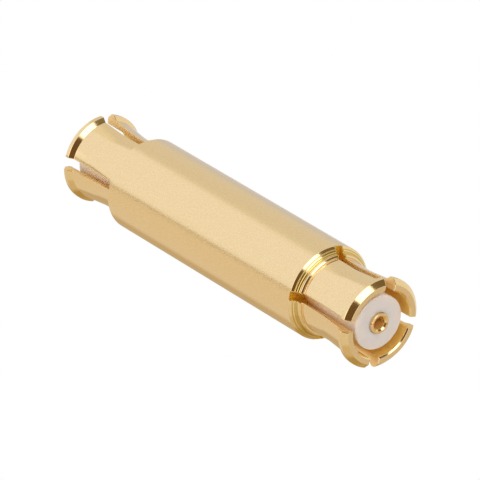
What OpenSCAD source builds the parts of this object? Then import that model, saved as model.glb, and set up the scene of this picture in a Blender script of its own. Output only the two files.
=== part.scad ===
// Push-in coaxial adapter: a turned gold-plated shell with slotted spring fingers at both ends,
// two white insulators and one double-ended socket contact. Millimetres, axis upright, standing
// on the finger tips of its rear end.

/* [Shell] */
// Length over the tips of the fingers
overall_len = 16; // [14.8:0.1:20]
// Diameter of the thick middle body
body_d = 3.4; // [3.3:0.05:4.2]
// Length of the thick middle body
body_len = 10.2; // [8:0.1:11]
// Diameter of the barrels that carry the fingers
barrel_d = 2.72; // [2.64:0.02:2.9]
// Diameter over the snap lips
lip_d = 3.24; // [3.1:0.02:3.3]

/* [Body ends] */
// Height of the turned cone at each end of the body
cone_h = 0.22; // [0.18:0.01:0.3]
// Length of the narrow collar between the cone and the barrel
collar_len = 0.1; // [0.05:0.01:0.3]
// Depth of the fine ring turned in the cone
ring_depth = 0.02; // [0.01:0.005:0.03]
// Width of this ring
ring_w = 0.03; // [0.02:0.005:0.04]
// Depth of the groove at the foot of the cone
groove_depth = 0.045; // [0.02:0.005:0.05]
// Width of this groove
groove_w = 0.09; // [0.04:0.01:0.1]

/* [Fingers] */
// Length of the straight land on the lip's crest
lip_land = 0.15; // [0.05:0.01:0.3]
// Height of the 45 degree chamfer in front of the lip
lip_chamfer = 0.18; // [0.1:0.01:0.2]
// Height of the 45 degree shoulder behind it, which holds the adapter in a port
lip_shoulder = 0.15; // [0.08:0.01:0.18]
// Angle at which the fingers flare from the barrel out to the lip's shoulder
flare_angle = 5.5; // [4:0.5:8]
// Radius of the hollow sweep in which this flare begins
sweep_r = 4; // [1:0.5:6]
// Inside diameter of the fingers
mouth_d = 2.42; // [2.3:0.02:2.46]
// Depth of this wide bore from the finger tips
mouth_len = 2.75; // [1:0.05:2.8]
// Edge break around its mouth
mouth_break = 0.05; // [0.02:0.01:0.08]
// Number of slots at each end
slot_count = 4; // [4:2:6]
// Width of a slot at its root
slot_w = 0.29; // [0.2:0.01:0.4]
// Width of a front slot at the tips, where the spread fingers stand further apart
slot_tip_w = 0.4; // [0.3:0.01:0.5]
// The same at the rear end, whose fingers are spread a little more
rear_tip_w = 0.47; // [0.3:0.01:0.55]
// How far the slots run into the end of the body
slot_bite = 0.02; // [0.01:0.01:0.2]
// Turn of the rear end's slots from those of the front end, in degrees
rear_turn = 5; // [-45:0.5:45]

/* [Insulators] */
// Diameter of the insulators
insulator_d = 1.96; // [1.7:0.02:2]
// How far their faces lie behind the finger tips
insulator_recess = 0.2; // [0.1:0.01:0.6]
// Diameter of their inner necks
neck_d = 1.6; // [1.4:0.02:1.66]
// Length of the shell's inner rib, which the two necks share
rib_len = 3; // [1.5:0.1:5]
// Edge break on their outer edges
insulator_break = 0.04; // [0.02:0.01:0.08]

/* [Contact] */
// Diameter of the contact
contact_d = 0.74; // [0.6:0.02:0.9]
// How far its ends lie behind the finger tips
contact_recess = 0.1; // [0.05:0.01:0.5]
// Diameter of the sockets in its ends
socket_d = 0.45; // [0.38:0.01:0.5]
// Depth of the sockets
socket_len = 1.9; // [1.2:0.1:3]
// Width of the slits that make the sockets springy, at their inner ends
slit_w = 0.05; // [0.03:0.01:0.1]
// Width left of them at the mouth, where the socket is pinched to grip a pin
slit_mouth_w = 0.02; // [0.01:0.005:0.03]
// Length of the slits
slit_len = 1.6; // [1:0.1:2.5]
// Diameter of the collar that the insulators trap
trap_d = 1.1; // [0.96:0.02:1.3]
// Length of this collar
trap_len = 0.8; // [0.4:0.1:1.4]
// Height of the 45 degree lead-in at the mouths of the sockets
socket_lead = 0.06; // [0.03:0.01:0.08]
// Edge break on the outer rims of the contact
contact_break = 0.03; // [0.02:0.005:0.04]

/* [Fits] */
// Clearance on the radius between pieces that fit into each other
fit_gap = 0.01; // [0.005:0.005:0.03]

/* [Hidden] */

half_len = overall_len / 2;
body_r = body_d / 2;
barrel_r = barrel_d / 2;
lip_r = lip_d / 2;
body_half = body_len / 2;
// The cone runs at 45 degrees, so it takes as much off the radius as off the length
collar_r = body_r - cone_h;
collar_end = body_half + cone_h + collar_len;
mouth_r = mouth_d / 2;
// The flare ends at the shoulder's foot, so its start follows from its angle and its rise
foot_r = lip_r - lip_shoulder;
foot_z = half_len - lip_chamfer - lip_land - lip_shoulder;
cone_rise = foot_r - barrel_r - sweep_r * (1 - cos(flare_angle));
sweep_z = foot_z - cone_rise / tan(flare_angle) - sweep_r * sin(flare_angle);

insulator_r = insulator_d / 2;
neck_r = neck_d / 2;
bore_r = insulator_r + fit_gap;
rib_bore_r = neck_r + fit_gap;
insulator_face = half_len - insulator_recess;

contact_r = contact_d / 2;
contact_half = half_len - contact_recess;
trap_r = trap_d / 2;
drill_angle = 118;

slot_root = body_half - slot_bite;
arc_steps = 8;
// Cutting shapes reach this far past what they cut
past = 0.5;
$fn = 64;

gold = [0.87, 0.72, 0.44];
bright_gold = [0.80, 0.62, 0.30];
white = [0.86, 0.84, 0.84];

// Points on an arc about the centre c, as [radius, height] pairs
function arc(c, r, from, to) =
    [for (i = [0 : arc_steps]) let (a = from + (to - from) * i / arc_steps)
        c + r * [cos(a), sin(a)]];

// V cut of a given width and depth around the cone, at a share of the way down it
function ring_cut(share, width, depth) =
    let (w = width / 2 / sqrt(2), d = depth / sqrt(2), p = [body_r, body_half] + cone_h * share * [-1, 1])
    [p + [w, -w], p - [d, d], p + [-w, w]];

// Outline of one half of the shell, from the middle to the finger tips
function shell_half() = concat(
    [[rib_bore_r, 0], [body_r, 0], [body_r, body_half]],
    ring_cut(0.42, ring_w, ring_depth), ring_cut(0.8, groove_w, groove_depth),
    [[collar_r, body_half + cone_h], [collar_r, collar_end], [barrel_r, collar_end]],
    arc([barrel_r + sweep_r, sweep_z], sweep_r, 180, 180 - flare_angle),
    [[foot_r, foot_z], [lip_r, foot_z + lip_shoulder], [lip_r, half_len - lip_chamfer]],
    [[lip_r - lip_chamfer, half_len], [mouth_r + mouth_break, half_len]],
    [[mouth_r, half_len - mouth_break], [mouth_r, half_len - mouth_len]],
    [[bore_r, half_len - mouth_len], [bore_r, rib_len / 2], [rib_bore_r, rib_len / 2]]);

module both_ends() {
    children();
    mirror([0, 0, 1]) children();
}

// Saw cuts straight across the fingers, each making two opposite slots
module slots(turn, tip_w) {
    for (i = [0 : slot_count / 2 - 1])
        rotate(turn + i * 360 / slot_count)
            translate([0, body_r + past, 0]) rotate([90, 0, 0])
                linear_extrude(body_d + 2 * past)
                    polygon([
                        [-slot_w / 2, slot_root], [slot_w / 2, slot_root],
                        [tip_w / 2, half_len], [tip_w / 2, half_len + past],
                        [-tip_w / 2, half_len + past], [-tip_w / 2, half_len]]);
}

module shell_solid() {
    difference() {
        both_ends() rotate_extrude() polygon(shell_half());
        slots(0, slot_tip_w);
        mirror([0, 0, 1]) slots(rear_turn, rear_tip_w);
    }
}

// One insulator, from the middle of the shell up to its face
module insulator_solid() {
    trap_pocket = trap_len / 2 + fit_gap;
    rotate_extrude()
        polygon([
            [trap_r + fit_gap, fit_gap], [neck_r, fit_gap],
            [neck_r, rib_len / 2 + fit_gap], [insulator_r, rib_len / 2 + fit_gap],
            [insulator_r, insulator_face - insulator_break],
            [insulator_r - insulator_break, insulator_face],
            [contact_r + fit_gap, insulator_face],
            [contact_r + fit_gap, trap_pocket], [trap_r + fit_gap, trap_pocket]]);
}

// Socket with a drilled bottom, a lead-in at its mouth and two slits
module socket() {
    socket_r = socket_d / 2;
    tip_h = socket_r / tan(drill_angle / 2);
    translate([0, 0, contact_half - socket_len]) cylinder(r = socket_r, h = socket_len + past);
    translate([0, 0, contact_half - socket_len - tip_h]) cylinder(r1 = 0, r2 = socket_r, h = tip_h);
    translate([0, 0, contact_half - socket_lead])
        cylinder(r1 = socket_r, r2 = socket_r + socket_lead + past, h = socket_lead + past);
    translate([0, contact_r + past, contact_half]) rotate([90, 0, 0])
        linear_extrude(contact_d + 2 * past)
            polygon([
                [-slit_w / 2, -slit_len], [slit_w / 2, -slit_len],
                [slit_mouth_w / 2, 0], [slit_mouth_w / 2, past],
                [-slit_mouth_w / 2, past], [-slit_mouth_w / 2, 0]]);
}

module contact_solid() {
    difference() {
        both_ends() rotate_extrude()
            polygon([
                [0, 0], [trap_r, 0], [trap_r, trap_len / 2], [contact_r, trap_len / 2],
                [contact_r, contact_half - contact_break],
                [contact_r - contact_break, contact_half], [0, contact_half]]);
        both_ends() socket();
    }
}

// The middle of the adapter stands half its length above the surface
module stand() {
    translate([0, 0, half_len]) children();
}

module shell() { color(gold) stand() shell_solid(); }
module front_insulator() { color(white) stand() insulator_solid(); }
module rear_insulator() { color(white) stand() mirror([0, 0, 1]) insulator_solid(); }
module centre_contact() { color(bright_gold) stand() contact_solid(); }

shell();
front_insulator();
rear_insulator();
centre_contact();
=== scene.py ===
"""Looks of the coaxial adapter: finely turned meshes for its four pieces, plated gold and waxy plastic
materials, a white sweep and a soft studio around it. Metres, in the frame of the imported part."""

import math

import bmesh
import bpy
from mathutils import Matrix, Vector


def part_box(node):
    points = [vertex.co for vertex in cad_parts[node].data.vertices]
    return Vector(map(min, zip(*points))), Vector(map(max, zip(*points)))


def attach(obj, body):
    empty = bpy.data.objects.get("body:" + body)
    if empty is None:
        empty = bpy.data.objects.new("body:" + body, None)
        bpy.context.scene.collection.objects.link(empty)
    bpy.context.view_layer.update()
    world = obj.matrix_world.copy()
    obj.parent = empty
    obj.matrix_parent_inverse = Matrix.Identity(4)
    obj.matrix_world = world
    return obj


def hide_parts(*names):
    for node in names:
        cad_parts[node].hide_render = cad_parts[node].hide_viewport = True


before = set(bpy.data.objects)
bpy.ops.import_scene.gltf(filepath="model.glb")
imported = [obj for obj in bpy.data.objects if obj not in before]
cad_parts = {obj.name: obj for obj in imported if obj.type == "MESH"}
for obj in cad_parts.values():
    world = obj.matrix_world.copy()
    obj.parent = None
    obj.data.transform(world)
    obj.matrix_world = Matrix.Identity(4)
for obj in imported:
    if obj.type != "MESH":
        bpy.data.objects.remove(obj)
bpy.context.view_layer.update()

MM = 0.001

# Sizes of the adapter in millimetres, with heights counted from its middle
shell_low, shell_high = (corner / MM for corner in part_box("shell"))
HALF_LEN = (shell_high.z - shell_low.z) / 2
MIDDLE_Z = (shell_high.z + shell_low.z) / 2
BODY_R = shell_high.x
INSULATOR_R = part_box("front_insulator")[1].x / MM
INSULATOR_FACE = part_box("front_insulator")[1].z / MM - MIDDLE_Z
CONTACT_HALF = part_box("centre_contact")[1].z / MM - MIDDLE_Z
TRAP_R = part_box("centre_contact")[1].x / MM

BODY_HALF = 5.1
CONE_H = 0.22
COLLAR_LEN = 0.1
COLLAR_BREAK = 0.05
BARREL_R = 1.36
LIP_R = 1.62
LIP_LAND = 0.15
LIP_CHAMFER = 0.18
LIP_SHOULDER = 0.15
FLARE_ANGLE = 5.5
SWEEP_R = 4
MOUTH_R = 1.21
MOUTH_LEN = 2.75
MOUTH_BREAK = 0.05
SLOT_BITE = 0.02
SLOT_ROOT = BODY_HALF - SLOT_BITE
SLOT_W = 0.29
SLOT_TIP_W = 0.4
REAR_TIP_W = 0.47
REAR_TURN = 5
EDGE_BREAK, BREAK_SEGMENTS = 0.015, 2
FIT_GAP = 0.01
BORE_R = INSULATOR_R + FIT_GAP
NECK_R = 0.8
RIB_HALF = 1.5
CONTACT_R = 0.37
SOCKET_R = 0.225
SOCKET_LEN = 1.9
SOCKET_LEAD = 0.06
DRILL_ANGLE = 118
SLIT_LEN = 1.6
SLIT_ROOT = CONTACT_HALF - SLIT_LEN
SLIT_W = 0.05
SLIT_MOUTH_W = 0.02
TRAP_HALF = 0.4
CONTACT_BREAK = 0.03
INSULATOR_BREAK = 0.04

# The fine ring and the groove in the cone, each with its share of the way down the cone
RING_SHARE, RING_W, RING_DEPTH = 0.42, 0.03, 0.02
GROOVE_SHARE, GROOVE_W, GROOVE_DEPTH = 0.8, 0.09, 0.045
# How far beside their edges more points keep the soft shading off the cone
SHADING_HOLD = 0.006

# Roundings of the turned edges
CONE_FOOT_ROUND = 0.005
FINE_ROUND = 0.01
EDGE_ROUND = 0.02
SHOULDER_ROUND = 0.03
CREST_ROUND = 0.04

# How finely the meshes are turned, and how many of their columns lie in each slot
SHELL_COLUMNS, SLOT_COLUMNS = 288, 8
CONTACT_COLUMNS, SLIT_COLUMNS = 96, 4
INSULATOR_COLUMNS = 128
ROUND_STEPS, FINE_STEPS, SWEEP_STEPS = 4, 6, 8
SHARP_ANGLE = math.radians(32)
# Sizes that differ by less than this are the same
TOUCH = 1e-6


# Outlines, as lists of (radius, height) pairs

def arc(centre, radius, start, end, steps):
    """Points on an arc about centre, with its angles in degrees."""
    angles = [math.radians(start + (end - start) * i / steps) for i in range(steps + 1)]
    return [(centre[0] + radius * math.cos(a), centre[1] + radius * math.sin(a)) for a in angles]


def rounded(corners, steps=ROUND_STEPS):
    """The line through (radius, height, rounding) corners, with each corner rounded off by its own radius."""
    points = [corners[0][:2]]
    for before, (r, z, rounding), after in zip(corners, corners[1:], corners[2:]):
        if rounding == 0:
            points.append((r, z))
            continue
        here = Vector((r, z))
        back = (Vector(before[:2]) - here).normalized()
        ahead = (Vector(after[:2]) - here).normalized()
        half_turn = back.angle(ahead) / 2
        centre = here + (back + ahead).normalized() * rounding / math.sin(half_turn)
        first = here + back * rounding / math.tan(half_turn) - centre
        last = here + ahead * rounding / math.tan(half_turn) - centre
        start = math.degrees(math.atan2(first.y, first.x))
        swing = (math.degrees(math.atan2(last.y, last.x)) - start + 180) % 360 - 180
        points += arc(centre, rounding, start, start + swing, steps)
    return points + [corners[-1][:2]]


def cone_cut(share, width, depth):
    """Corners of a V cut around the cone, at a share of the way down it."""
    half, inward = width / math.sqrt(2) / 2, depth / math.sqrt(2)
    r, z = BODY_R - CONE_H * share, BODY_HALF + CONE_H * share
    return [(r + half + SHADING_HOLD, z - half - SHADING_HOLD, 0), (r + half, z - half, 0),
            (r - inward, z - inward, 0), (r - half, z + half, 0),
            (r - half - SHADING_HOLD, z + half + SHADING_HOLD, 0)]


def shell_outline():
    """Half of the shell's section, outside from the middle up to the tips and back down inside."""
    flare = math.radians(FLARE_ANGLE)
    foot_r = LIP_R - LIP_SHOULDER
    foot_z = HALF_LEN - LIP_CHAMFER - LIP_LAND - LIP_SHOULDER
    cone_rise = foot_r - BARREL_R - SWEEP_R * (1 - math.cos(flare))
    sweep_z = foot_z - cone_rise / math.tan(flare) - SWEEP_R * math.sin(flare)
    collar_r = BODY_R - CONE_H
    collar_end = BODY_HALF + CONE_H + COLLAR_LEN
    outside = rounded([
        (BODY_R, 0, 0),
        (BODY_R, SLOT_ROOT, 0),
        (BODY_R, BODY_HALF, EDGE_ROUND),
        *cone_cut(RING_SHARE, RING_W, RING_DEPTH),
        *cone_cut(GROOVE_SHARE, GROOVE_W, GROOVE_DEPTH),
        (collar_r, BODY_HALF + CONE_H, CONE_FOOT_ROUND),
        (collar_r, collar_end - COLLAR_BREAK, FINE_ROUND),
        (collar_r - COLLAR_BREAK, collar_end, FINE_ROUND),
        (BARREL_R, collar_end, EDGE_ROUND),
        (BARREL_R, sweep_z, 0)])
    outside += arc((BARREL_R + SWEEP_R, sweep_z), SWEEP_R, 180, 180 - FLARE_ANGLE, SWEEP_STEPS)[1:]
    tip_and_inside = rounded([
        (*outside[-1], 0),
        (foot_r, foot_z, EDGE_ROUND),
        (LIP_R, foot_z + LIP_SHOULDER, SHOULDER_ROUND),
        (LIP_R, HALF_LEN - LIP_CHAMFER, CREST_ROUND),
        (LIP_R - LIP_CHAMFER, HALF_LEN, EDGE_ROUND),
        (MOUTH_R + MOUTH_BREAK, HALF_LEN, EDGE_ROUND),
        (MOUTH_R, HALF_LEN - MOUTH_BREAK, EDGE_ROUND),
        (MOUTH_R, HALF_LEN - MOUTH_LEN, EDGE_ROUND),
        (BORE_R, HALF_LEN - MOUTH_LEN, 0),
        (BORE_R, SLOT_ROOT, 0),
        (BORE_R, RIB_HALF, 0),
        (NECK_R + FIT_GAP, RIB_HALF, 0),
        (NECK_R + FIT_GAP, 0, 0)])
    return outside + tip_and_inside[1:]


def insulator_outline(side):
    """Closed section of one insulator; side is 1 for the front and -1 for the rear."""
    pocket = TRAP_HALF + FIT_GAP
    section = rounded([
        (TRAP_R + FIT_GAP, FIT_GAP, 0),
        (NECK_R, FIT_GAP, 0),
        (NECK_R, RIB_HALF + FIT_GAP, 0),
        (INSULATOR_R, RIB_HALF + FIT_GAP, 0),
        (INSULATOR_R, INSULATOR_FACE, INSULATOR_BREAK),
        (CONTACT_R + FIT_GAP, INSULATOR_FACE, FINE_ROUND),
        (CONTACT_R + FIT_GAP, pocket, 0),
        (TRAP_R + FIT_GAP, pocket, 0)], FINE_STEPS)
    return [(r, side * z) for r, z in section]


def contact_outline():
    """Half of the contact's section, outside from the middle up to its mouth and down the socket."""
    socket_end = CONTACT_HALF - SOCKET_LEN
    drill_tip = SOCKET_R / math.tan(math.radians(DRILL_ANGLE / 2))
    return rounded([
        (TRAP_R, 0, 0),
        (TRAP_R, TRAP_HALF, EDGE_ROUND),
        (CONTACT_R, TRAP_HALF, 0),
        (CONTACT_R, SLIT_ROOT, 0),
        (CONTACT_R, CONTACT_HALF, CONTACT_BREAK),
        (SOCKET_R + SOCKET_LEAD, CONTACT_HALF, FINE_ROUND),
        (SOCKET_R, CONTACT_HALF - SOCKET_LEAD, EDGE_ROUND),
        (SOCKET_R, SLIT_ROOT, 0),
        (SOCKET_R, socket_end, 0),
        (0, socket_end - drill_tip, 0)], FINE_STEPS)


def both_halves(half):
    """The closed outline whose upper half this is."""
    mirrored = [(r, -z) for r, z in reversed(half)][:-1]
    return half + (mirrored[1:] if half[-1][1] == 0 else mirrored)


# How much a face is sheltered by others, from its outer radius and its distance from the middle. Sheltered
# gold gets rougher and takes painted shade.

IN_BORE, IN_SLOT, OUTSIDE, IN_GROOVE = 1.0, 0.5, 0.0, -1.0
# Radii of the fine ring, counted from its middle, and the share of the cone where the groove begins
RING_INNER, RING_OUTER = -0.015, 0.02
GROOVE_BEGIN = 0.6
# Points this near to the cone's foot are no longer on the cone
CONE_FOOT_MARGIN = 0.001


def in_cone(r, z):
    """Whether a point is on the cone or in the ring or the groove turned in it."""
    return BARREL_R < r < BODY_R - EDGE_ROUND and BODY_HALF < z < BODY_HALF + CONE_H - CONE_FOOT_MARGIN


def shell_shelter(r, z):
    if r <= MOUTH_R + TOUCH:
        return IN_BORE
    in_ring = RING_INNER < r - (BODY_R - CONE_H * RING_SHARE) < RING_OUTER
    return IN_GROOVE if in_cone(r, z) and (in_ring or r < BODY_R - CONE_H * GROOVE_BEGIN) else OUTSIDE


def socket_shelter(r, z):
    return IN_BORE if r <= SOCKET_R + TOUCH else OUTSIDE


# Turned meshes

class Slots:
    """Straight slots from both ends of a turned piece, at the height tip, down to the height root, with one
    width at the root and others at the front and rear tips. Those of the rear end may be turned from those
    of the front."""

    def __init__(self, count, root, tip, root_width, front_width, rear_width, first_angle=0.0, rear_turn=0.0):
        self.count, self.root, self.tip = count, root, tip
        self.root_width, self.front_width, self.rear_width = root_width, front_width, rear_width
        self.first_angle, self.rear_turn = first_angle, rear_turn

    def width_at(self, z):
        share = max(0.0, (abs(z) - self.root) / (self.tip - self.root))
        tip_width = self.front_width if z > 0 else self.rear_width
        return self.root_width + (tip_width - self.root_width) * share

    def turn_at(self, z):
        """Angle of the first slot in degrees. From one root to the other it goes over from that of the front
        to that of the rear."""
        return self.first_angle + self.rear_turn * min(1, max(0, 0.5 - z / self.root / 2))


def turned(name, outline, columns, slots=None, gap=0, shelter=None):
    """A piece turned about the upright axis from a closed outline, with its slots left open. The gap is the
    number of columns in each slot; those beside it follow its flat walls, whatever the radius. The face
    value "sheltered" is what shelter gives, or IN_SLOT on the slots' walls."""
    sectors = slots.count if slots else 1
    per_sector = columns // sectors
    finger = per_sector - gap

    def angle(column, r, z):
        sector, place = divmod(column, per_sector)
        step = 2 * math.pi / sectors
        if not slots:
            return step * place / finger
        spread = math.asin(slots.width_at(z) / 2 / r)
        within = spread * (2 * place / gap - 1) if place < gap else (
            spread + (step - 2 * spread) * (place - gap) / finger)
        return math.radians(slots.turn_at(z)) + sector * step + within

    def beyond(z):
        return slots is not None and abs(z) > slots.root + TOUCH

    bm = bmesh.new()
    broken = bm.edges.layers.float.new("bevel_weight_edge")
    sheltered = bm.faces.layers.float.new("sheltered")

    def face(corners, value):
        """A face, unless its corners meet in fewer than three points, as they do on the axis."""
        unique = list(dict.fromkeys(corners))
        if len(unique) < 3:
            return None
        made = bm.faces.new(unique)
        made[sheltered] = value
        return made

    # One ring of points for each point of the outline, without those that lie inside a slot
    rings = []
    for r, z in outline:
        if r == 0:
            rings.append([bm.verts.new((0, 0, z))] * columns)
            continue
        rings.append([
            None if beyond(z) and 0 < c % per_sector < gap
            else bm.verts.new((r * math.cos(angle(c, r, z)), r * math.sin(angle(c, r, z)), z))
            for c in range(columns)])

    # The turned surface between each ring and the next
    for i, (r, z) in enumerate(outline):
        j = (i + 1) % len(outline)
        next_r, next_z = outline[j]
        cut = beyond(z) or beyond(next_z)
        value = shelter(max(r, next_r), abs(z + next_z) / 2) if shelter else OUTSIDE
        for c in range(columns):
            if not (cut and c % per_sector < gap):
                d = (c + 1) % columns
                face([rings[i][c], rings[i][d], rings[j][d], rings[j][c]], value)

    # The flat walls and the roots of the slots. The walls' edges get broken, except at the roots.
    if slots:
        root_ends = set()
        for side in (1, -1):
            run = [i for i, (_, z) in enumerate(outline) if side * z >= slots.root - TOUCH]
            outer, inner = rings[run[0]], rings[run[-1]]
            for first in range(0, columns, per_sector):
                for wall in (first, first + gap):
                    for edge in face([rings[i][wall] for i in run], IN_SLOT).edges:
                        edge[broken] = 1.0
                    root_ends.update((outer[wall], inner[wall]))
                for c in range(first, first + gap):
                    face([outer[c], outer[c + 1], inner[c + 1], inner[c]], IN_SLOT)
        for edge in bm.edges:
            if edge[broken] and all(v in root_ends for v in edge.verts):
                edge[broken] = 0.0

    bmesh.ops.recalc_face_normals(bm, faces=bm.faces)
    mesh = bpy.data.meshes.new(name)
    bm.to_mesh(mesh)
    bm.free()
    return mesh


def finished(name, mesh, material, node, edge_break=0.0, soft=None):
    """Breaks the slots' edges, shades the mesh, brings it to metres and puts it in the node's place. Edges
    whose ends both pass the test soft, for a radius and a distance from the middle, stay soft."""
    piece = bpy.data.objects.new(name, mesh)
    bpy.context.scene.collection.objects.link(piece)
    if edge_break:
        bevel = piece.modifiers.new("edge_break", "BEVEL")
        bevel.limit_method = "WEIGHT"
        bevel.width = edge_break
        bevel.segments = BREAK_SEGMENTS
        bevel.use_clamp_overlap = False
        bpy.context.view_layer.update()
        mesh = bpy.data.meshes.new_from_object(piece.evaluated_get(bpy.context.evaluated_depsgraph_get()))
        piece.modifiers.clear()
        piece.data = mesh
        mesh.name = name
    mesh.shade_smooth()
    mesh.set_sharp_from_angle(angle=SHARP_ANGLE)
    if soft:
        softened = [soft(v.co.xy.length, abs(v.co.z)) for v in mesh.vertices]
        for edge in mesh.edges:
            if all(softened[v] for v in edge.vertices):
                edge.use_edge_sharp = False
    mesh.transform(Matrix.Diagonal((MM, MM, MM, 1)) @ Matrix.Translation((0, 0, MIDDLE_Z)))
    mesh.materials.clear()
    mesh.materials.append(material)
    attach(piece, "root")
    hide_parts(node)


# Shader nodes

# Values between which a noise mostly lies
NOISE_LOW, NOISE_HIGH = 0.3, 0.7
NOISE_DETAIL = 2.0
# Where a Mix node has its two inputs and its result, for each type of data
MIX_SOCKETS = {"RGBA": (6, 7, 2), "FLOAT": (2, 3, 0)}


def feed(tree, socket, value):
    """Links the socket to another node's output, or sets it to a number or a colour."""
    if isinstance(value, bpy.types.NodeSocket):
        tree.links.new(value, socket)
    else:
        socket.default_value = value


def calculated(tree, operation, *values, clamp=False):
    """The result of a Math node."""
    node = tree.nodes.new("ShaderNodeMath")
    node.operation = operation
    node.use_clamp = clamp
    for socket, value in zip(node.inputs, values):
        feed(tree, socket, value)
    return node.outputs[0]


def mixed(tree, factor, first, second, data_type="RGBA"):
    """The first colour or number where factor is 0 and the second where it is 1."""
    node = tree.nodes.new("ShaderNodeMix")
    node.data_type = data_type
    a, b, result = MIX_SOCKETS[data_type]
    tree.links.new(factor, node.inputs[0])
    for k, value in ((a, first), (b, second)):
        feed(tree, node.inputs[k], (*value, 1) if isinstance(value, tuple) else value)
    return node.outputs[result]


def ranged(tree, value, low, high, from_low=NOISE_LOW, from_high=NOISE_HIGH, interpolation="LINEAR"):
    """Low where value is from_low or less, high where it is from_high or more, and in between."""
    node = tree.nodes.new("ShaderNodeMapRange")
    node.interpolation_type = interpolation
    node.inputs["From Min"].default_value = from_low
    node.inputs["From Max"].default_value = from_high
    node.inputs["To Min"].default_value = low
    node.inputs["To Max"].default_value = high
    tree.links.new(value, node.inputs["Value"])
    return node.outputs["Result"]


def noise(tree, scale, roughness=0.5, stretch=(1, 1, 1)):
    """A noise in object space; scale counts its features per millimetre."""
    place = tree.nodes.new("ShaderNodeTexCoord")
    mapping = tree.nodes.new("ShaderNodeMapping")
    mapping.inputs["Scale"].default_value = [scale * s / MM for s in stretch]
    texture = tree.nodes.new("ShaderNodeTexNoise")
    texture.inputs["Scale"].default_value = 1.0
    texture.inputs["Detail"].default_value = NOISE_DETAIL
    texture.inputs["Roughness"].default_value = roughness
    tree.links.new(place.outputs["Object"], mapping.inputs["Vector"])
    tree.links.new(mapping.outputs["Vector"], texture.inputs["Vector"])
    return texture.outputs["Fac"]


def from_middle(tree):
    """Distance in millimetres above or below the middle of the adapter."""
    place = tree.nodes.new("ShaderNodeTexCoord")
    split = tree.nodes.new("ShaderNodeSeparateXYZ")
    tree.links.new(place.outputs["Object"], split.inputs[0])
    above_floor = calculated(tree, "DIVIDE", split.outputs["Z"], MM)
    return calculated(tree, "ABSOLUTE", calculated(tree, "SUBTRACT", above_floor, MIDDLE_Z))


def two_tone(tree, factor, dark, light):
    """A colour that goes from dark to light with a noise."""
    ramp = tree.nodes.new("ShaderNodeValToRGB")
    for element, position, colour in zip(ramp.color_ramp.elements, (NOISE_LOW, NOISE_HIGH), (dark, light)):
        element.color = (*colour, 1)
        element.position = position
    tree.links.new(factor, ramp.inputs["Fac"])
    return ramp.outputs["Color"]


def bump(tree, shader, grain, depth_mm, strength=1.0):
    node = tree.nodes.new("ShaderNodeBump")
    feed(tree, node.inputs["Strength"], strength)
    node.inputs["Distance"].default_value = depth_mm * MM
    tree.links.new(grain, node.inputs["Height"])
    tree.links.new(node.outputs["Normal"], shader.inputs["Normal"])


def new_material(name):
    material = bpy.data.materials.new(name)
    material.use_nodes = True
    tree = material.node_tree
    return material, tree, tree.nodes["Principled BSDF"]


# Materials. Grain and blotches are given in features per millimetre, other lengths in millimetres.

GOLD_GRAIN, GOLD_GRAIN_ROUGHNESS, GOLD_GRAIN_STRETCH = 22, 0.55, (1, 1, 0.7)
GOLD_BLOTCHES = 6
# How much rougher or smoother than its mean the gold is in places
BLOTCH_SHARE = 0.1
# What is left of the grain on the bright ends
END_GRAIN = 0.3
# Painted shade: the fine ring and the cone's lower part, where the groove is, are darker
PAINTED_GROOVE_SHADE = (0.74, 0.52, 0.18)
# Heights above the slots' roots between which the painted colours of the roots fade away: the gold's shade
# and the plastic's warm light
ROOT_FADE_FROM, ROOT_FADE_TO = 0.1, 1.2
# The painted shade, a deeper gold, sets in where "sheltered" times this passes the start, at the tips and at
# the roots
PAINTED_SHADE_GAIN_AT_TIP, PAINTED_SHADE_GAIN_AT_ROOT, PAINTED_SHADE_START = 2.0, 3.6, 0.8
# Values of "sheltered" between which the gold gets rough
ROUGH_FROM, ROUGH_TO = 0.3, 0.5
# Length over which the body's satin goes over to the bright ends
SATIN_FADE = 0.05

WHITE_BLOTCHES, WHITE_GRAIN, WHITE_GRAIN_DEPTH = 3, 18, 0.001
WHITE_ROUGHNESS = 0.4
# The white of the faces, and the painted warm light of the gold on the sides at the tips and at the slots'
# roots
FACE_DARK, FACE_LIGHT = (0.77, 0.72, 0.73), (0.81, 0.765, 0.775)
PAINTED_GOLD_LIGHT_AT_TIP, PAINTED_GOLD_LIGHT_AT_ROOT = (0.97, 0.86, 0.72), (1.0, 0.68, 0.30)
# Where the painted warm light on the insulators' sides gives way to white and where light enters them,
# counted back from their faces
SIDE_FROM, SIDE_TO = 0.9, 0.1
MILKY_FROM, MILKY_TO = 0.12, 0.02
# How far light travels in it, and for each colour its share of this
MILKY_DEPTH, MILKY_SHARES = 0.3, (1.0, 0.85, 0.7)


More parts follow.
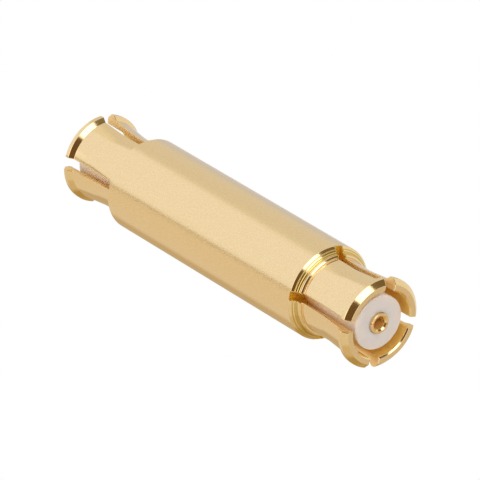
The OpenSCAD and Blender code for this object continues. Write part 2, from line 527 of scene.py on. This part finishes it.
def gold_plating(name, dark, light, painted_sheltered_shade, painted_root_shade, body_roughness, end_roughness, inner_roughness,
                 grain_depth):
    """Grained plating that is satin on the body, brighter on the ends, with painted shade in the groove, and
    rougher with a deeper painted shade on sheltered faces, most of all at the slots' roots."""
    material, tree, shader = new_material(name)
    shader.inputs["Metallic"].default_value = 1.0
    distance = from_middle(tree)
    grain = noise(tree, GOLD_GRAIN, GOLD_GRAIN_ROUGHNESS, GOLD_GRAIN_STRETCH)
    attribute = tree.nodes.new("ShaderNodeAttribute")
    attribute.attribute_name = "sheltered"
    sheltered = attribute.outputs["Fac"]

    at_root = ranged(tree, distance, 1, 0, SLOT_ROOT + ROOT_FADE_FROM, SLOT_ROOT + ROOT_FADE_TO)
    gain = ranged(tree, at_root, PAINTED_SHADE_GAIN_AT_TIP, PAINTED_SHADE_GAIN_AT_ROOT, 0, 1)
    # Painted shade: sheltered faces in the bore, the slots and the socket take a deeper gold, most of all
    # near the slots' roots
    depth = calculated(tree, "MULTIPLY_ADD", sheltered, gain, -PAINTED_SHADE_START, clamp=True)
    # Painted shade: the fine ring and the cone's lower part round the groove take a darker gold
    painted_groove_shade = ranged(tree, sheltered, 1, 0, IN_GROOVE, OUTSIDE)
    outside = mixed(tree, painted_groove_shade, two_tone(tree, grain, dark, light), PAINTED_GROOVE_SHADE)
    inside = mixed(tree, at_root, painted_sheltered_shade, painted_root_shade)
    tree.links.new(mixed(tree, depth, outside, inside), shader.inputs["Base Color"])

    on_end = ranged(tree, distance, 0, 1, BODY_HALF - SATIN_FADE, BODY_HALF)
    blotch = noise(tree, GOLD_BLOTCHES)
    satin, bright = (ranged(tree, blotch, roughness * (1 - BLOTCH_SHARE), roughness * (1 + BLOTCH_SHARE))
                     for roughness in (body_roughness, end_roughness))
    outer = mixed(tree, on_end, satin, bright, "FLOAT")
    inner = ranged(tree, sheltered, 0, 1, ROUGH_FROM, ROUGH_TO)
    tree.links.new(mixed(tree, inner, outer, inner_roughness, "FLOAT"), shader.inputs["Roughness"])
    bump(tree, shader, grain, grain_depth, mixed(tree, on_end, 1.0, END_GRAIN, "FLOAT"))
    return material


def waxy_white():
    """Milky plastic, white on its faces, with the warm light that the gold throws on its sides painted into
    their colour.
    """
    material, tree, shader = new_material("waxy_white")
    distance = from_middle(tree)
    white = two_tone(tree, noise(tree, WHITE_BLOTCHES), FACE_DARK, FACE_LIGHT)
    at_root = ranged(tree, distance, 1, 0, SLOT_ROOT, SLOT_ROOT + ROOT_FADE_TO)
    # Painted light: the warm light that the gold throws on the sides, deeper in colour towards the slots'
    # roots
    painted_gold_light = mixed(tree, at_root, PAINTED_GOLD_LIGHT_AT_TIP, PAINTED_GOLD_LIGHT_AT_ROOT)
    on_side = ranged(tree, distance, 1, 0, INSULATOR_FACE - SIDE_FROM, INSULATOR_FACE - SIDE_TO)
    tree.links.new(mixed(tree, on_side, white, painted_gold_light), shader.inputs["Base Color"])
    shader.inputs["Roughness"].default_value = WHITE_ROUGHNESS
    milky = ranged(tree, distance, 0, 1, INSULATOR_FACE - MILKY_FROM, INSULATOR_FACE - MILKY_TO)
    tree.links.new(milky, shader.inputs["Subsurface Weight"])
    shader.inputs["Subsurface Radius"].default_value = MILKY_SHARES
    shader.inputs["Subsurface Scale"].default_value = MILKY_DEPTH * MM
    bump(tree, shader, noise(tree, WHITE_GRAIN), WHITE_GRAIN_DEPTH)
    return material


# Both platings take painted shade on sheltered faces: the shell in its bore, slots, ring and groove, the
# contact in its socket
satin_gold = gold_plating(
    "satin_gold", dark=(0.93, 0.69, 0.38), light=(1.0, 0.78, 0.46), painted_sheltered_shade=(1.0, 0.75, 0.26),
    painted_root_shade=(0.80, 0.51, 0.06), body_roughness=0.18, end_roughness=0.12, inner_roughness=0.6,
    grain_depth=0.003)
contact_gold = gold_plating(
    "contact_gold", dark=(0.93, 0.66, 0.33), light=(1.0, 0.74, 0.40), painted_sheltered_shade=(1.0, 0.75, 0.34),
    painted_root_shade=(1.0, 0.74, 0.30), body_roughness=0.2, end_roughness=0.16, inner_roughness=0.7,
    grain_depth=0.001)
insulator_white = waxy_white()


# The four pieces

finger_slots = Slots(4, SLOT_ROOT, HALF_LEN, SLOT_W, SLOT_TIP_W, REAR_TIP_W, rear_turn=REAR_TURN)
contact_slits = Slots(2, SLIT_ROOT, CONTACT_HALF, SLIT_W, SLIT_MOUTH_W, SLIT_MOUTH_W, first_angle=90)
shell_mesh = turned("shell_turned", both_halves(shell_outline()), SHELL_COLUMNS, finger_slots, SLOT_COLUMNS,
                    shell_shelter)
contact_mesh = turned("contact_turned", both_halves(contact_outline()), CONTACT_COLUMNS, contact_slits,
                      SLIT_COLUMNS, socket_shelter)
finished("shell_turned", shell_mesh, satin_gold, "shell", EDGE_BREAK, in_cone)
for side, where in ((1, "front"), (-1, "rear")):
    name = where + "_insulator_turned"
    finished(name, turned(name, insulator_outline(side), INSULATOR_COLUMNS), insulator_white,
             where + "_insulator")
finished("contact_turned", contact_mesh, contact_gold, "centre_contact")


# Camera. The axis leans towards it by AXIS_TO_VIEW, and its picture by AXIS_IN_PICTURE below level.

AXIS_TO_VIEW = math.radians(45.28)
AXIS_IN_PICTURE = math.radians(30.84)
# Where around the axis the camera stands
NEAR_SIDE = math.radians(-116)
# How far away it stands in metres, which gives the perspective
CAMERA_AWAY = 107.25 * BODY_R * MM
SENSOR_MM = 36
CLIP_NEAR, CLIP_FAR = 0.01, 10
# The picture's width, the body's radius and the middle of the adapter in it
FRAME_PIXELS = 480
BODY_PIXELS = 49.503
CENTRE_PIXEL = (235.79, 237.54)

axis = Vector((0, 0, 1))
near_side = Vector((math.cos(NEAR_SIDE), math.sin(NEAR_SIDE), 0))
along_view = -math.cos(AXIS_TO_VIEW) * axis - math.sin(AXIS_TO_VIEW) * near_side
axis_seen = math.sin(AXIS_TO_VIEW) * axis - math.cos(AXIS_TO_VIEW) * near_side
across_seen = axis.cross(near_side)
picture_right = math.cos(AXIS_IN_PICTURE) * axis_seen - math.sin(AXIS_IN_PICTURE) * across_seen
picture_up = -math.sin(AXIS_IN_PICTURE) * axis_seen - math.cos(AXIS_IN_PICTURE) * across_seen


def add_camera():
    data = bpy.data.cameras.new("camera")
    data.sensor_width = SENSOR_MM
    data.lens = data.sensor_width * BODY_PIXELS * CAMERA_AWAY / (BODY_R * MM) / FRAME_PIXELS
    data.clip_start, data.clip_end = CLIP_NEAR, CLIP_FAR
    camera = bpy.data.objects.new("camera", data)
    bpy.context.scene.collection.objects.link(camera)
    bpy.context.scene.camera = camera
    half_frame = FRAME_PIXELS / 2
    pixel = BODY_R * MM / BODY_PIXELS
    place = (Vector((0, 0, MIDDLE_Z * MM)) - along_view * CAMERA_AWAY
             - picture_right * (CENTRE_PIXEL[0] - half_frame) * pixel
             + picture_up * (CENTRE_PIXEL[1] - half_frame) * pixel)
    turn = Matrix((picture_right, picture_up, -along_view)).transposed().to_4x4()
    camera.matrix_world = Matrix.Translation(place) @ turn


# Studio

# Radius and height of the white sweep in metres, and the number of its sides
STAGE_R, STAGE_H, STAGE_SIDES = 0.5, 1.0, 64
# Keeps a panel's mask at 0 for directions that point away from the panel
LEAST_AHEAD = 0.01

BASE_TONE = (0.84, 0.82, 0.72)
PANELS = {
    # name: direction (right, up, back), width, height, turn, soft edge, colour
    "low_front": ((-0.14, -0.98, 0.12), 90, 80, 0, 20, (0.64, 0.53, 0.33)),
    "low_back": ((0.07, -0.86, -0.50), 60, 40, 0, 12, (0.45, 0.33, 0.12)),
    "low_rim": ((0.15, -0.56, -0.81), 30, 40, 0, 10, (0.50, 0.38, 0.18)),
    "low_camera": ((-0.22, -0.80, 0.55), 60, 36, 0, 8, (0.73, 0.67, 0.52)),
    "right_side": ((0.86, -0.51, 0.0), 70, 70, 0, 20, (0.65, 0.58, 0.47)),
    "upper_back": ((0.0, 0.83, -0.56), 70, 46, 0, 16, (0.72, 0.70, 0.64)),
    "far_back": ((0.13, 0.40, -0.90), 50, 26, 0, 14, (0.62, 0.63, 0.68)),
    "lower_back": ((-0.32, -0.32, -0.89), 50, 30, 0, 14, (0.55, 0.44, 0.27)),
    "lower_side": ((-0.86, -0.30, -0.41), 60, 44, 0, 10, (0.74, 0.67, 0.55)),
    "key": ((-0.80, 0.60, 0.0), 80, 66, 0, 8, (0.89, 0.90, 0.91)),
    "key_frame": ((-0.99, 0.03, -0.13), 80, 2, 0, 1, (0.28, 0.21, 0.07)),
    "camera_side": ((-0.10, -0.20, 0.97), 40, 50, -23, 8, (0.145, 0.083, 0.03)),
    "upper_right": ((0.70, 0.60, 0.38), 50, 20, 0, 8, (0.18, 0.13, 0.06)),
    "white_card": ((0.34, 0.40, 0.85), 30, 35, -45, 8, (2.4, 2.4, 2.3)),
    "front_fill": ((0.58, -0.38, 0.72), 44, 44, 0, 12, (1.4, 1.4, 1.4)),
    "left_fill": ((-0.80, -0.10, 0.59), 44, 44, 0, 12, (1.8, 1.62, 1.4)),
}


class Surround:
    """Light from far around, painted in the world as soft-edged panels over a base tone."""

    def __init__(self, base):
        world = bpy.data.worlds.new("studio")
        bpy.context.scene.world = world
        world.use_nodes = True
        self.tree = world.node_tree
        self.direction = self.tree.nodes.new("ShaderNodeTexCoord").outputs["Generated"]
        tone = self.tree.nodes.new("ShaderNodeRGB")
        tone.outputs[0].default_value = (*base, 1)
        self.colour = tone.outputs[0]

    def along(self, vector):
        """How far the direction looked into goes along a vector."""
        node = self.tree.nodes.new("ShaderNodeVectorMath")
        node.operation = "DOT_PRODUCT"
        self.tree.links.new(self.direction, node.inputs[0])
        node.inputs[1].default_value = vector
        return node.outputs["Value"]

    def panel(self, towards, width, height, turn, soft, colour):
        """A panel centred on a direction given as seen in the picture: to the right, up, and back towards the
        camera. It is width by height in degrees, with edges that fade over soft degrees. Seen from the part
        its width lies level in the picture's frame, then it is turned anticlockwise."""
        right, up, back = towards
        centre = (right * picture_right + up * picture_up - back * along_view).normalized()
        level = picture_up.cross(centre).normalized()
        side = Matrix.Rotation(math.radians(turn), 3, centre) @ level
        ahead = calculated(self.tree, "MAXIMUM", self.along(centre), LEAST_AHEAD)
        fade = math.tan(math.radians(soft / 2))
        masks = []
        for vector, size in ((side, width), (centre.cross(side), height)):
            aside = calculated(self.tree, "ABSOLUTE", self.along(vector))
            away = calculated(self.tree, "DIVIDE", aside, ahead)
            reach = math.tan(math.radians(size / 2))
            masks.append(ranged(self.tree, away, 1, 0, reach - fade, reach + fade, "SMOOTHSTEP"))
        self.colour = mixed(self.tree, calculated(self.tree, "MULTIPLY", *masks), self.colour, colour)

    def done(self):
        self.tree.links.new(self.colour, self.tree.nodes["Background"].inputs["Color"])


def add_sweep():
    """A pale floor and a wall all round that only the camera sees, so that they throw no colour on the
    gold."""
    material = bpy.data.materials.new("sweep_white")
    material.use_nodes = True
    tree = material.node_tree
    tree.nodes.clear()
    glow = tree.nodes.new("ShaderNodeEmission")
    glow.inputs["Color"].default_value = (1, 1, 1, 1)
    output = tree.nodes.new("ShaderNodeOutputMaterial")
    tree.links.new(glow.outputs[0], output.inputs["Surface"])
    bm = bmesh.new()
    bmesh.ops.create_cone(bm, cap_ends=True, segments=STAGE_SIDES, radius1=STAGE_R, radius2=STAGE_R,
                          depth=STAGE_H, matrix=Matrix.Translation((0, 0, STAGE_H / 2)))
    mesh = bpy.data.meshes.new("sweep")
    bm.to_mesh(mesh)
    bm.free()
    mesh.materials.append(material)
    sweep = bpy.data.objects.new("sweep", mesh)
    bpy.context.scene.collection.objects.link(sweep)
    sweep.visible_diffuse = sweep.visible_glossy = sweep.visible_transmission = sweep.visible_shadow = False


add_camera()
surround = Surround(BASE_TONE)
for panel in PANELS.values():
    surround.panel(*panel)
surround.done()
add_sweep()
bpy.context.scene.view_settings.view_transform = "Standard"
